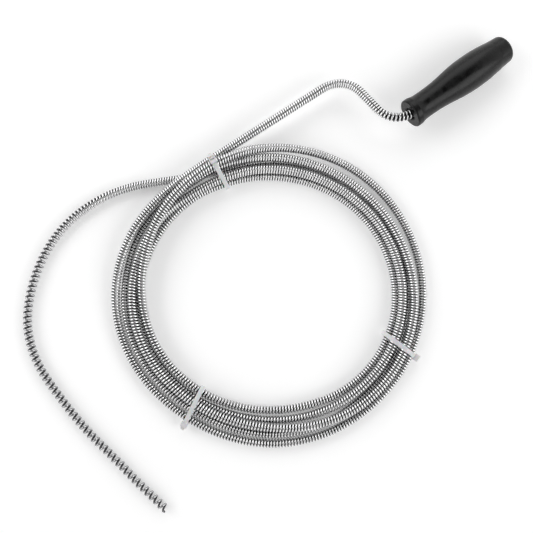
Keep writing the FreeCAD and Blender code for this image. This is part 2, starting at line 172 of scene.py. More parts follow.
@dataclass(frozen=True)
class Finish:
    """A material made from the worn-surface group and a Principled shader.

    Attributes:
        name: the material's name.
        clean: colour where nothing has rubbed it.
        worn: colour of the blotches.
        rough: roughness, clean and worn.
        scales: size of the blotches and of the grain, in repeats per metre.
        metallic: 1 for bare metal.
        bump: depth of the grain, in metres.
        sockets: other shader sockets with their plain values.
    """

    name: str
    clean: Colour
    worn: Colour
    rough: tuple[float, float]
    scales: tuple[float, float]
    metallic: float = 0.0
    bump: float = 0.00002
    sockets: tuple[tuple[str, float], ...] = ()

    def material(self, group: bpy.types.NodeTree) -> bpy.types.Material:
        """Builds the material.

        Args:
            group: the worn-surface node group.

        Returns:
            The new material.
        """
        made = bpy.data.materials.new(self.name)
        made.use_nodes = True
        nodes = made.node_tree.nodes
        links = made.node_tree.links
        shader = nodes["Principled BSDF"]
        shader.inputs["Metallic"].default_value = self.metallic
        for socket, value in self.sockets:
            shader.inputs[socket].default_value = value
        surface = nodes.new("ShaderNodeGroup")
        surface.node_tree = group
        surface.inputs["Clean Colour"].default_value = (*self.clean, 1.0)
        surface.inputs["Worn Colour"].default_value = (*self.worn, 1.0)
        surface.inputs["Clean Roughness"].default_value = self.rough[0]
        surface.inputs["Worn Roughness"].default_value = self.rough[1]
        surface.inputs["Blotch Scale"].default_value = self.scales[0]
        surface.inputs["Grain Scale"].default_value = self.scales[1]
        bump = nodes.new("ShaderNodeBump")
        bump.inputs["Strength"].default_value = 0.5
        bump.inputs["Distance"].default_value = self.bump
        links.new(surface.outputs["Colour"], shader.inputs["Base Color"])
        links.new(surface.outputs["Roughness"], shader.inputs["Roughness"])
        links.new(surface.outputs["Height"], bump.inputs["Height"])
        links.new(bump.outputs["Normal"], shader.inputs["Normal"])
        return made


@dataclass(frozen=True)
class WireShadeAndGrime:
    """How a spring's wire is coloured by where it faces and by how open the spring is: painted shade
    and grime on the side facing into the spring, where its turns shade each other, and its clean colour
    outside.

    Attributes:
        crest: where the outside's colour takes over from the groove's painted shade, 1 being straight
            out.
        opening: distances between turns at which the spring counts as close and as open.
        groove: painted shade and grime in the grooves of close turns, where the turns shade each other.
        open_groove: painted shade and grime on the inner side of open turns.
        open_crest: colour of the outside of open turns.
    """

    crest: tuple[float, float] = (0.55, 0.91)
    opening: tuple[float, float] = (3.2 * MM, 4.8 * MM)
    # The groove colours are painted shade, with some grime, where the turns shade each other.
    groove: Colour = (0.03, 0.03, 0.03)
    open_groove: Colour = (0.11, 0.11, 0.115)
    open_crest: Colour = (0.52, 0.52, 0.53)

    def mix(
        self,
        material: bpy.types.Material,
        attribute: str,
        span: tuple[float, float],
        colours: tuple[Colour | bpy.types.NodeSocket, Colour | bpy.types.NodeSocket],
    ) -> bpy.types.NodeSocket:
        """Blends two colours by an attribute of the mesh.

        Args:
            material: the material that gets the nodes.
            attribute: the attribute's name.
            span: its values where the blend begins and ends.
            colours: the colours under and over the span, plain or output sockets.

        Returns:
            The blend's output.
        """
        nodes = material.node_tree.nodes
        links = material.node_tree.links
        source = nodes.new("ShaderNodeAttribute")
        source.attribute_name = attribute
        share = nodes.new("ShaderNodeMapRange")
        share.inputs["From Min"].default_value = span[0]
        share.inputs["From Max"].default_value = span[1]
        links.new(source.outputs["Fac"], share.inputs["Value"])
        mixed = nodes.new("ShaderNodeMix")
        mixed.data_type = "RGBA"
        links.new(share.outputs["Result"], mixed.inputs["Factor"])
        for socket, colour in zip((mixed.inputs[6], mixed.inputs[7]), colours):
            if isinstance(colour, tuple):
                socket.default_value = (*colour, 1.0)
            else:
                links.new(colour, socket)
        return mixed.outputs[2]

    def add_to(self, material: bpy.types.Material) -> None:
        """Puts painted shade and grime on the inward side of a wire, over its colour.

        Args:
            material: the wire's material.
        """
        base = material.node_tree.nodes["Principled BSDF"].inputs["Base Color"]
        clean = base.links[0].from_socket
        groove = self.mix(material, OPEN, self.opening, (self.groove, self.open_groove))
        crest = self.mix(material, OPEN, self.opening, (clean, self.open_crest))
        # Painted shade, with some grime, on the side of the wire facing into the spring; its own colour
        # outside.
        worn = self.mix(material, OUTSIDE, self.crest, (groove, crest))
        material.node_tree.links.new(worn, base)


SPRING_WIRE = Finish(
    "spring_wire", (0.97, 0.97, 0.97), (0.84, 0.84, 0.85), (0.12, 0.22), (60.0, 2500.0), 1.0, 0.00001
)
ZINC_PLATE = Finish(
    "zinc_plate", (0.6, 0.6, 0.62), (0.45, 0.45, 0.46), (0.3, 0.45), (90.0, 1800.0), 1.0
)
OILED_ROD = Finish(
    "oiled_rod", (0.045, 0.045, 0.048), (0.025, 0.025, 0.026), (0.35, 0.5), (90.0, 1800.0), 1.0
)
GRIP_BLACK = Finish(
    "grip_black", (0.004, 0.004, 0.004), (0.009, 0.009, 0.009), (0.2, 0.33), (160.0, 900.0), 0.0,
    0.00006,
    (("Specular IOR Level", 0.24),)
)
CLEAR_NYLON = Finish(
    "clear_nylon", (0.9, 0.9, 0.91), (0.8, 0.81, 0.82), (0.32, 0.45), (150.0, 1200.0), 0.0, 0.00002,
    (("Subsurface Weight", 0.25), ("Subsurface Scale", 0.002), ("Transmission Weight", 0.2)),
)


# ---- spring wire ---------------------------------------------------------------------------------


def read_spline(
    name: str, points: list[Vector], resolution: int, weights: list[float] | None = None
) -> np.ndarray:
    """Reads the line of a quadratic NURBS spline through its control points' hull.

    Args:
        name: name of the curve while it exists.
        points: the control points.
        resolution: how many points Blender works out for each stretch.
        weights: with weights, the spline is a chain of quadratic arcs that share their end points.

    Returns:
        The points along the line, one row each.
    """
    curve = bpy.data.curves.new(name, "CURVE")
    curve.dimensions = "3D"
    curve.resolution_u = resolution
    spline = curve.splines.new("NURBS")
    spline.points.add(len(points) - 1)
    for i, point in enumerate(points):
        spline.points[i].co = (*point, 1.0 if weights is None else weights[i])
    spline.order_u = 3
    spline.use_endpoint_u = True
    spline.use_bezier_u = weights is not None
    spline.resolution_u = resolution
    bare = bpy.data.objects.new(name, curve)
    mesh = bpy.data.meshes.new_from_object(bare)
    line = np.array([vertex.co for vertex in mesh.vertices])
    bpy.data.meshes.remove(mesh)
    bpy.data.objects.remove(bare)
    bpy.data.curves.remove(curve)
    return line


def distances(line: np.ndarray) -> np.ndarray:
    """How far along a line each of its points is.

    Args:
        line: the points, one row each.

    Returns:
        One distance for each point.
    """
    steps = np.linalg.norm(np.diff(line, axis=0), axis=1)
    return np.concatenate([[0.0], np.cumsum(steps)])


@dataclass
class Centreline:
    """A line with a direction and an untwisted side vector at each of its points."""

    points: np.ndarray

    def __post_init__(self) -> None:
        """Works out the distances, directions and side vectors."""
        self.along = distances(self.points)
        ahead = np.gradient(self.points, self.along, axis=0)
        self.ahead = ahead / np.linalg.norm(ahead, axis=1)[:, None]
        side = np.cross(self.ahead[0], (0.0, 0.0, 1.0))
        sides = []
        for direction in self.ahead:
            side = side - direction * np.dot(side, direction)
            side = side / np.linalg.norm(side)
            sides.append(side)
        self.sides = np.array(sides)

    @property
    def length(self) -> float:
        """The line's length."""
        return float(self.along[-1])

    def at(self, spots: np.ndarray, values: np.ndarray) -> np.ndarray:
        """Reads per-point values between the line's points.

        Args:
            spots: distances along the line.
            values: three numbers for each of the line's points.

        Returns:
            Three numbers for each spot.
        """
        return np.stack([np.interp(spots, self.along, values[:, k]) for k in range(3)], axis=1)

    def cut(self, start: float, end: float) -> "Centreline":
        """The stretch between two distances.

        Args:
            start: where it begins.
            end: where it ends.

        Returns:
            The stretch, with points at both distances.
        """
        inside = self.along[(self.along > start) & (self.along < end)]
        spots = np.concatenate([[start], inside, [end]])
        return Centreline(self.at(spots, self.points))


@dataclass(frozen=True)
class Winding:
    """How a spring is wound: its wire, its outside and how far apart its turns are.

    Attributes:
        outside: the spring's outside diameter.
        wire: the wire's diameter.
        steps: points in one turn.
        sides: sides of the wire's section, from 4.
    """

    outside: float = 9.0 * MM
    wire: float = 2.2 * MM
    steps: int = 16
    sides: int = 10

    def wind(
        self, name: str, line: Centreline, pitch: np.ndarray, phase: float = 0.0
    ) -> tuple[bpy.types.Object, float]:
        """Winds a spring's wire round a centreline.

        Args:
            name: the piece's name.
            line: the middle of the spring.
            pitch: distance between turns at each of the line's points.
            phase: where round the line the wire begins, in turns.

        Returns:
            The piece, and where round the line its wire ends, in turns.
        """
        density = 1.0 / pitch
        middles = (density[1:] + density[:-1]) / 2
        turns = phase + np.concatenate([[0.0], np.cumsum(middles * np.diff(line.along))])
        count = round((turns[-1] - phase) * self.steps)
        marks = np.linspace(phase, turns[-1], count + 1)
        spots = np.interp(marks, turns, line.along)
        ahead = line.at(spots, line.ahead)
        side = line.at(spots, line.sides)
        lift = np.cross(side, ahead)
        angle = 2 * math.pi * marks[:, None]
        outward = np.cos(angle) * side + np.sin(angle) * lift
        wire = line.at(spots, line.points) + (self.outside - self.wire) / 2 * outward
        piece = self.draw(name, wire)
        self.mark(piece, wire, outward, np.interp(spots, line.along, pitch))
        return piece, float(turns[-1])

    def mark(
        self, piece: bpy.types.Object, wire: np.ndarray, outward: np.ndarray, between: np.ndarray
    ) -> None:
        """Notes, on the wire's skin, how far it faces out of the spring and how open the spring is.

        Args:
            piece: the wire's mesh object, whose first rings of vertices are its end's and start's caps.
            wire: the points down the middle of the wire.
            outward: the way out of the spring at each of them.
            between: the distance between turns at each of them.
        """
        mesh = piece.data
        skin = np.empty(len(mesh.vertices) * 3)
        mesh.vertices.foreach_get("co", skin)
        ring = np.repeat([len(wire) - 1, 0, *range(len(wire))], self.sides)
        facing = np.sum((skin.reshape(-1, 3) - wire[ring]) * outward[ring], axis=1) / (self.wire / 2)
        for name, values in ((OUTSIDE, facing), (OPEN, between[ring])):
            mesh.attributes.new(name, "FLOAT", "POINT").data.foreach_set("value", values)

    def draw(self, name: str, wire: np.ndarray) -> bpy.types.Object:
        """Makes the wire round, as a mesh.

        Args:
            name: the piece's name.
            wire: the points down the middle of the wire.

        Returns:
            The mesh object.
        """
        curve = bpy.data.curves.new(name, "CURVE")
        curve.dimensions = "3D"
        spline = curve.splines.new("POLY")
        spline.points.add(len(wire) - 1)
        flat = np.concatenate([wire, np.ones((len(wire), 1))], axis=1)
        spline.points.foreach_set("co", flat.ravel())
        curve.bevel_depth = self.wire / 2
        curve.bevel_resolution = (self.sides - 4) // 2
        curve.use_fill_caps = True
        piece = bpy.data.objects.new(name, curve)
        bpy.context.collection.objects.link(piece)
        make_active(piece)
        bpy.ops.object.convert(target="MESH")
        piece = bpy.context.object
        piece.name = name
        make_active(piece)
        bpy.ops.object.shade_smooth()
        return piece


# ---- crank ---------------------------------------------------------------------------------------


@dataclass
class Crank:
    """The stiff end of the cable: a straight stretch, a knee, an arm, an elbow and the grip.

    Attributes:
        neck: from the elbow's corner to the middle of the grip's front face.
        arm: level length of the arm, between its two corners.
        arm_heading: the arm's direction from above.
        straight: level length from the ring's tangent point to the knee's corner.
        straight_heading: the straight stretch's direction from above.
        knee_height: height of the knee's corner.
        lead_height: height of the tangent point.
        buried: length of the straight stretch that belongs to the ring.
        depth: how deep the spring goes into the grip.
        knee_bend: radius of the knee.
        elbow_bend: radius of the elbow.
        closing: how far past the elbow's corner the spring closes, in two steps.
        pitches: distance between turns inside the grip, at the corner and at each of the steps.
        resolution: points worked out for each stretch of the line.
    """

    neck: float = 19.6 * MM
    arm: float = 67.4 * MM
    arm_heading: float = -48.3
    straight: float = 177.0 * MM
    straight_heading: float = 32.3
    knee_height: float = 17.0 * MM
    lead_height: float = 14.8 * MM
    buried: float = 30.0 * MM
    depth: float = 24.0 * MM
    knee_bend: float = 28.0 * MM
    elbow_bend: float = 25.0 * MM
    closing: tuple[float, float] = (14.0 * MM, 24.0 * MM)
    pitches: tuple[float, ...] = (3.3 * MM, 3.4 * MM, 2.75 * MM, 2.38 * MM)
    resolution: int = 48

    def __post_init__(self) -> None:
        """Finds the crank's corners from the grip's joint."""
        joint = next(j for j in frame["joints"] if j["name"] == "grip_spin")
        self.front = Vector(joint["pos_m"])
        self.axis = Vector(joint["axis"]).normalized()
        self.elbow = self.front - self.axis * self.neck
        self.knee = self.elbow - heading(self.arm_heading) * self.arm
        self.knee.z = self.knee_height
        self.tangent = self.knee - heading(self.straight_heading) * self.straight
        self.tangent.z = self.lead_height
        self.start = self.tangent + (self.knee - self.tangent).normalized() * self.buried

    def centreline(self) -> Centreline:
        """The middle of the spring, from inside the grip to the ring.

        Returns:
            The line, straight runs and true arcs.
        """
        points = [self.front + self.axis * self.depth]
        weights = [1.0]
        corners = (
            (self.elbow, self.front, self.knee, self.elbow_bend),
            (self.knee, self.elbow, self.start, self.knee_bend),
        )
        for corner, before, after, bend in corners:
            back = (before - corner).normalized()
            onward = (after - corner).normalized()
            half_turn = (math.pi - back.angle(onward)) / 2
            reach = bend * math.tan(half_turn)
            begin = corner + back * reach
            points += [(points[-1] + begin) / 2, begin, corner, corner + onward * reach]
            weights += [1.0, 1.0, math.cos(half_turn), 1.0]
        points += [(points[-1] + self.start) / 2, self.start]
        weights += [1.0, 1.0]
        return Centreline(read_spline("crank_line", points, self.resolution, weights))

    def pitch(self, line: Centreline) -> np.ndarray:
        """Distance between turns along the crank: close on the straight, open round the elbow.

        Args:
            line: the crank's centreline.

        Returns:
            The pitch at each of the line's points.
        """
        elbow_at = self.depth + self.neck
        marks = [0.0, elbow_at, *(elbow_at + further for further in self.closing)]
        return np.interp(line.along, marks, self.pitches)

    def build(self, steel: bpy.types.Material) -> tuple[bpy.types.Object, float]:
        """Winds the crank's spring.

        Args:
            steel: the spring's material.

        Returns:
            The piece, and its wire's phase where the free cable goes on.
        """
        line = self.centreline()
        piece, phase = Winding(steps=22, sides=10).wind("crank_wire", line, self.pitch(line))
        piece.data.materials.append(steel)
        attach(piece, "root")
        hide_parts("crank_spring")
        LOG.info("crank_wire: %.3f m of spring", line.length)
        return piece, phase


# ---- free cable ----------------------------------------------------------------------------------


@dataclass(frozen=True)
class Station:
    """A cut through the tied ring: where its five strands are at one angle.

    Attributes:
        angle: degrees round the ring from +X.
        strands: for each turn in winding order, its distance from the ring's mean line and its
            height, in millimetres.
    """

    angle: float
    strands: tuple[tuple[float, float], ...]


LAY = (
    Station(112, ((12.0, 15.2), (6.0, 22.3), (-13.0, 5.9), (-8.5, 14.2), (3.5, 13.7))),
    Station(120, ((9.5, 15.0), (3.0, 22.9), (-12.5, 5.9), (-8.5, 14.4), (0.5, 14.4))),
    Station(130, ((7.5, 14.9), (1.0, 21.6), (-10.5, 5.9), (-9.0, 14.8), (1.0, 8.2))),
    Station(140, ((8.5, 14.8), (-2.0, 21.4), (-10.5, 5.9), (-5.0, 13.0), (3.5, 5.9))),
    Station(150, ((10.5, 14.7), (-5.5, 19.5), (-10.5, 5.9), (-3.0, 10.9), (7.0, 5.9))),
    Station(170, ((13.0, 12.6), (-11.0, 15.4), (-9.0, 5.9), (-2.5, 12.3), (5.5, 5.9))),
    Station(190, ((16.0, 5.9), (-12.5, 11.7), (-5.0, 5.9), (-2.0, 14.4), (6.9, 5.9))),
    Station(235, ((14.0, 5.9), (-15.0, 10.1), (-6.0, 5.9), (-3.5, 14.6), (4.9, 5.9))),
    Station(270, ((18.0, 5.9), (-15.5, 5.9), (-5.5, 5.9), (-1.0, 13.8), (8.9, 5.9))),
    Station(290, ((17.5, 5.9), (-14.5, 5.9), (-4.0, 5.9), (4.0, 14.5), (8.4, 5.9))),
    Station(310, ((15.5, 5.9), (-11.5, 5.9), (-5.0, 13.0), (7.0, 14.4), (4.0, 5.9))),
    Station(345, ((13.5, 5.9), (-11.5, 5.9), (-6.5, 13.7), (5.0, 14.0), (1.0, 5.9))),
    Station(380, ((13.5, 5.9), (-13.5, 5.9), (-8.0, 13.5), (1.2, 14.7), (0.0, 5.9))),
    Station(420, ((16.0, 5.9), (-14.0, 5.9), (-8.5, 13.9), (1.7, 14.9), (1.0, 5.9))),
    Station(450, ((13.0, 15.2), (-14.0, 5.9), (-7.5, 13.4), (3.5, 14.5), (1.0, 5.9))),
    Station(460, ((10.5, 19.5), (-13.0, 5.9), (-7.5, 13.9), (3.5, 14.4), (0.5, 5.9))),
    Station(472, ((6.0, 22.3), (-13.0, 5.9), (-8.5, 14.2), (3.5, 13.7), (-1.0, 5.9))),
)

# Route of the free tail about the middle of the ring, in millimetres, from under the ring to the tip.
TAIL_ROUTE = (
    (-67.8, 113.7), (-101.7, 109.3), (-137.6, 103.6), (-170.6, 89.6), (-200.6, 65.9),
    (-221.9, 33.9), (-233.6, -2.0), (-236.0, -35.9), (-225.8, -68.9), (-203.5, -100.8),
    (-177.3, -133.3), (-150.7, -158.9), (-125.8, -185.2), (-100.7, -208.5),
)


@dataclass
class FreeCable:
    """The limp length of the cable: five tied turns and the open-wound tail.

    Attributes:
        long_radius: half the ring's length along X, to the middle of the bundle.
        short_radius: half the ring's length along Y.
        turns: how many times the cable goes round.
        turn_points: control points in one turn.
        tail_height: height of the tail's centreline.
        close_pitch: distance between the spring's turns where it lies straight.
        ring_pitch: mean distance between them round the ring, where bending opens them.
        pitch_swing: how much that changes round the ring.
        widest_at: where it is largest, in degrees from +X.
        lead_in: distances from the crank at which the pitch has begun to open and is fully open.
        tail_shares: places along the tail, from the tip, as shares of its length.
        tail_pitches: distance between turns at each of them.
        resolution: points worked out for each stretch of the line.
    """

    crank: Crank
    long_radius: float = 134.0 * MM
    short_radius: float = 127.0 * MM
    turns: int = 5
    turn_points: int = 24
    tail_height: float = 4.6 * MM
    close_pitch: float = 2.3 * MM
    ring_pitch: float = 2.75 * MM
    pitch_swing: float = 0.25 * MM
    widest_at: float = 240.0
    lead_in: tuple[float, float] = (30.0 * MM, 90.0 * MM)
    tail_shares: tuple[float, ...] = (0.0, 0.25, 0.6, 0.78, 0.84)
    tail_pitches: tuple[float, ...] = (5.9 * MM, 5.4 * MM, 4.9 * MM, 3.4 * MM, 2.5 * MM)
    resolution: int = 12

    def __post_init__(self) -> None:
        """Finds the ring's middle, the whole route and its line."""
        low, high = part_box("cable_ring")
        self.middle = (Vector(low) + Vector(high)) / 2
        self.middle.z = 0.0
        self.tail_length = float(distances(np.array(TAIL_ROUTE) * MM)[-1])
        self.line = Centreline(read_spline("cable_line", self.route(), self.resolution))

    def mean_radius(self, angle: float) -> float:
        """The ring's radius to the middle of the bundle.

        Args:
            angle: degrees round the ring.

        Returns:
            The radius.
        """
        turn = math.radians(angle)
        return 1 / math.hypot(math.cos(turn) / self.long_radius, math.sin(turn) / self.short_radius)

    def strand_point(self, turn: int, angle: float, grow: float = 1.0) -> Vector:
        """A point of one turn of the ring.

        Args:
            turn: 0 for the first turn after the crank.
            angle: degrees from +X, between the first and last stations.
            grow: how much further out than the strand itself.

        Returns:
            The point.
        """
        angles = [station.angle for station in LAY]
        out = np.interp(angle, angles, [station.strands[turn][0] for station in LAY])
        up = np.interp(angle, angles, [station.strands[turn][1] for station in LAY])
        radius = (self.mean_radius(angle) + float(out) * MM) * grow
        return self.middle + heading(angle) * radius + Vector((0.0, 0.0, float(up) * MM))

    def route(self) -> list[Vector]:
        """Control points of the whole free cable, from the crank to the tip."""
        step = 360.0 / self.turn_points
        grow = 1 / math.cos(math.radians(step) / 2)
        points = [self.crank.start, self.crank.tangent]
        first = LAY[0].angle
        # The crank's line already makes the first two points of the first turn.
        for turn in range(self.turns):
            for i in range(self.turn_points):
                if turn or i > 1:
                    points.append(self.strand_point(turn, first + i * step, grow))
        tail = Vector((0.0, 0.0, self.tail_height))
        points += [self.middle + Vector((x, y, 0.0)) * MM + tail for x, y in TAIL_ROUTE]
        return points

    def pitch(self, line: Centreline) -> np.ndarray:
        """Distance between turns along the whole free cable, opening towards the tip.

        Args:
            line: the centreline of all of it.

        Returns:
            The pitch at each of the line's points.
        """
        about = line.points - np.array(self.middle)
        turn = np.arctan2(about[:, 1], about[:, 0]) - math.radians(self.widest_at)
        ring = self.ring_pitch + self.pitch_swing * np.cos(turn)
        start = np.interp(line.along, [0.0, *self.lead_in], [0.0, 0.3, 1.0])
        ring = self.close_pitch + (ring - self.close_pitch) * start
        to_tip = line.length - line.along
        marks = np.array(self.tail_shares) * self.tail_length
        tail = np.interp(to_tip, marks, self.tail_pitches)
        return np.where(to_tip > self.tail_length, ring, tail)

    def crossings(self, place: Vector, across: Vector, reach: float) -> list[tuple[float, float]]:
        """Where the cable goes through an upright plane.

        Args:
            place: a point of the plane, at the height of the table.
            across: the plane's level direction.
            reach: how far from the point to look.

        Returns:
            For each strand, how far along that direction it is, and its height.
        """
        about = self.line.points - np.array(place)
        side = about @ np.array((-across.y, across.x, 0.0))
        found = []
        for i in np.nonzero(side[1:] * side[:-1] < 0.0)[0]:
            spot = about[i] + side[i] / (side[i] - side[i + 1]) * (about[i + 1] - about[i])
            out = float(spot @ np.array(across))
            if abs(out) < reach:
                found.append((out, float(spot[2])))
        return found

    def build(
        self, steel: bpy.types.Material, phase: float, ties: list[bpy.types.Object]
    ) -> list[bpy.types.Object]:
        """Winds the free cable as three lengths that follow each other.

        Args:
            steel: the spring's material.
            phase: where the crank's wire ends, in turns.
            ties: the cable ties round the ring; not used.

        Returns:
            The three pieces.
        """
        share = (self.line.length - self.tail_length) / self.turns
        pitches = self.pitch(self.line)
        cuts = [0.0, 2 * share, 4 * share, self.line.length]
        names = ("cable_first_turns", "cable_middle_turns", "cable_last_turn_and_tail")
        nodes = (("cable_ring",), (), ("cable_tail",))
        pieces = []
        for i, name in enumerate(names):
            length = self.line.cut(cuts[i], cuts[i + 1])
            pitch = np.interp(cuts[i] + length.along, self.line.along, pitches)
            piece, phase = Winding().wind(name, length, pitch, phase)
            piece.data.materials.append(steel)
            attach(piece, "root")
            if nodes[i]:
                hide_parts(*nodes[i])
            LOG.info("%s: %.3f m of spring", name, length.length)
            pieces.append(piece)
        return pieces


# ---- cable ties ----------------------------------------------------------------------------------


# How far from straight on three corners of an outline still count as in line, in square metres.
IN_LINE = 1e-12


class HeadSide(Enum):
    """Which way a tie's head faces, in degrees up from straight out of the ring."""

    OUTSIDE = 10.0
    ABOVE = 66.0


def hull(spots: list[tuple[float, float]]) -> list[tuple[float, float]]:
    """The convex outline of flat points.

    Args:
        spots: the points.

    Returns:
        The outline's corners, counter-clockwise.
    """
    halves = []
    for ordered in (sorted(set(spots)), sorted(set(spots), reverse=True)):
        half: list[tuple[float, float]] = []
        for x, y in ordered:
            while len(half) > 1:
                (ax, ay), (bx, by) = half[-2:]
                if (bx - ax) * (y - ay) - (by - ay) * (x - ax) > IN_LINE:
                    break
                half.pop()
            half.append((x, y))
        halves += half[:-1]
    return halves


@dataclass(frozen=True)
class CableTie:
    """A moulded nylon tie pulled tight round the strands: a band, its locking head and a cut stub.

    Attributes:
        node: the CAD node it stands for.
        angle: where it is, in degrees round the ring.
        skew: how far the band is turned from straight across the ring, in degrees.
        side: which way the head faces.
        stub: how far the cut end stands out of the head.
        loose: how far the band stands off the innermost strand.
        width: the band's width.
        thickness: the band's thickness.
        slack: room between the band and the strands.
        head: the head's length along the band, its width and its height.
        rim: thickness of the head's wall round its slot.
        slot: depth of the slot.
        play: how much narrower than the band its cut end is.
        bite: how far the head is sunk into the band.
        reach: how far across the ring the band may go round a strand.
        corners: points round each strand.
    """

    node: str
    angle: float
    skew: float
    side: HeadSide
    stub: float
    loose: float = 0.0
    width: float = 4.4 * MM
    thickness: float = 1.2 * MM
    slack: float = 0.15 * MM
    head: tuple[float, float, float] = (6.2 * MM, 6.8 * MM, 4.8 * MM)
    rim: float = 1.2 * MM
    slot: float = 1.5 * MM
    play: float = 0.4 * MM
    bite: float = 0.2 * MM
    reach: float = 26.0 * MM
    corners: int = 40

    def outline(self, strands: list[tuple[float, float]]) -> list[tuple[float, float]]:
        """The middle of the band's thickness, round all the strands.

        Args:
            strands: each strand's place across the ring and its height.

        Returns:
            The corners of the closed line.
        """
        radius = Winding.outside / 2 + self.slack + self.thickness / 2
        inmost = min(strands)
        spots = []
        for out, up in [*strands, (inmost[0] - self.loose, inmost[1] + self.loose)]:
            for i in range(self.corners):
                turn = 2 * math.pi * i / self.corners
                height = max(up + radius * math.sin(turn), self.thickness / 2)
                spots.append((round(out + radius * math.cos(turn), 7), round(height, 7)))
        return hull(spots)

    def build_band(self, line: list[Vector], width: Vector) -> bpy.types.Object:
        """Makes the band.

        Args:
            line: the corners of its closed middle line.
            width: the unit vector along its width.

        Returns:
            The mesh object.
        """
        deselect_all()
        bpy.ops.mesh.primitive_circle_add(vertices=len(line), radius=0.01, fill_type="NOTHING")
        band = bpy.context.object
        settle(band)
        for vertex, corner in zip(band.data.vertices, line):
            vertex.co = corner - width * self.width / 2
        bpy.ops.object.mode_set(mode="EDIT")
        bpy.ops.mesh.select_all(action="SELECT")
        bpy.ops.mesh.extrude_region_move(TRANSFORM_OT_translate={"value": width * self.width})
        bpy.ops.object.mode_set(mode="OBJECT")
        wall = band.modifiers.new("wall", "SOLIDIFY")
        wall.thickness = self.thickness
        wall.offset = 0.0
        edges = band.modifiers.new("edges", "BEVEL")
        edges.width = 0.3 * MM
        edges.segments = 2
        edges.limit_method = "ANGLE"
        edges.angle_limit = math.radians(50.0)
        for modifier in ("wall", "edges"):
            bpy.ops.object.modifier_apply(modifier=modifier)
        return band

    def build_block(self, size: tuple[float, float, float], recess: float) -> bpy.types.Object:
        """Makes the head or the stub: a rounded block, with a slot in its top if it has a recess.

        Args:
            size: its length along the band, its width and its height.
            recess: depth of the slot.

        Returns:
            The mesh object, its underside at the origin.
        """
        deselect_all()
        bpy.ops.mesh.primitive_cube_add(size=1.0, location=(0.0, 0.0, size[2] / 2))
        block = bpy.context.object
        block.scale = size
        settle(block)
        if recess:
            bpy.ops.object.mode_set(mode="EDIT")
            bpy.ops.mesh.select_all(action="DESELECT")
            bpy.ops.object.mode_set(mode="OBJECT")
            for face in block.data.polygons:
                face.select = face.normal.z > 0.9
            bpy.ops.object.mode_set(mode="EDIT")
            bpy.ops.mesh.inset(thickness=self.rim)
            bpy.ops.mesh.extrude_region_move(TRANSFORM_OT_translate={"value": (0.0, 0.0, -recess)})
            bpy.ops.object.mode_set(mode="OBJECT")
        edges = block.modifiers.new("edges", "BEVEL")
        edges.width = min(0.7 * MM, min(size) / 5)
        edges.segments = 3
        edges.limit_method = "ANGLE"
        edges.angle_limit = math.radians(40.0)
        bpy.ops.object.modifier_apply(modifier="edges")
        return block

    def build(self, cable: "FreeCable", nylon: bpy.types.Material) -> bpy.types.Object:
        """Makes the whole tie where it holds the ring.

        Args:
            cable: the cable it holds.
            nylon: the tie's material.

        Returns:
            The piece.
        """
        place = cable.middle + heading(self.angle) * cable.mean_radius(self.angle)
        across = heading(self.angle + self.skew)
        width = heading(self.angle + self.skew + 90.0)
        outline = self.outline(cable.crossings(place, across, self.reach))
        corners = [place + across * out + Vector((0.0, 0.0, up)) for out, up in outline]
        band = self.build_band(corners, width)
        lean = math.radians(self.side.value)
        normal = across * math.cos(lean) + Vector((0.0, 0.0, math.sin(lean)))
        seat = max(corners, key=normal.dot) - normal * self.bite
        turned = Matrix((width.cross(normal), width, normal)).transposed().to_4x4()
        cut_end = (self.thickness, self.width - self.play, self.head[2] + self.stub)
        parts = [self.build_block(self.head, self.slot), self.build_block(cut_end, 0.0)]
        for part in parts:
            part.matrix_world = Matrix.Translation(seat) @ turned
            settle(part)
        make_active(band)
        for part in parts:
            part.select_set(True)
        bpy.ops.object.join()
        band.name = f"{self.node}_nylon"
        make_active(band)
        bpy.ops.object.mode_set(mode="EDIT")
        bpy.ops.mesh.select_all(action="SELECT")
        bpy.ops.mesh.normals_make_consistent(inside=False)
        bpy.ops.object.mode_set(mode="OBJECT")
        bpy.ops.object.shade_smooth_by_angle(angle=math.radians(35.0))
        band.data.materials.clear()
        band.data.materials.append(nylon)
        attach(band, "root")
        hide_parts(self.node)
        LOG.info("%s: %d corners round the strands", band.name, len(corners))
        return band


TIES = (
    CableTie("tie_top", 112.6, 6.0, HeadSide.ABOVE, 0.6 * MM),
    CableTie("tie_left", 235.5, 8.0, HeadSide.OUTSIDE, 2.6 * MM),
    CableTie("tie_right", 338.7, -15.7, HeadSide.OUTSIDE, 0.2 * MM, 2.4 * MM),
)


# ---- studio --------------------------------------------------------------------------------------


@dataclass(frozen=True)
class Softbox:
    """A square soft light that faces the ring.

    Attributes:
        name: the light's name.
        place: where it is, from the ring's middle.
        power: its power in watts.
        size: its side.
    """

    name: str
    place: tuple[float, float, float]
    power: float
    size: float = 0.8

    def add(self, middle: Vector) -> None:
        """Adds the light.

        Args:
            middle: the ring's middle.
        """
        spot = middle + Vector(self.place)
        bpy.ops.object.light_add(type="AREA", location=spot)
        lamp = bpy.context.object
        lamp.name = self.name
        lamp.data.size = self.size
        lamp.data.energy = self.power
        lamp.rotation_euler = (middle - spot).to_track_quat("-Z", "Y").to_euler()


SOFTBOXES = (
    Softbox("left_softbox", (-1.0, 0.35, 0.75), 3.8),
    Softbox("right_softbox", (1.0, -0.2, 0.75), 3.8),
    Softbox("back_softbox", (0.1, 1.1, 0.7), 2.0),
)


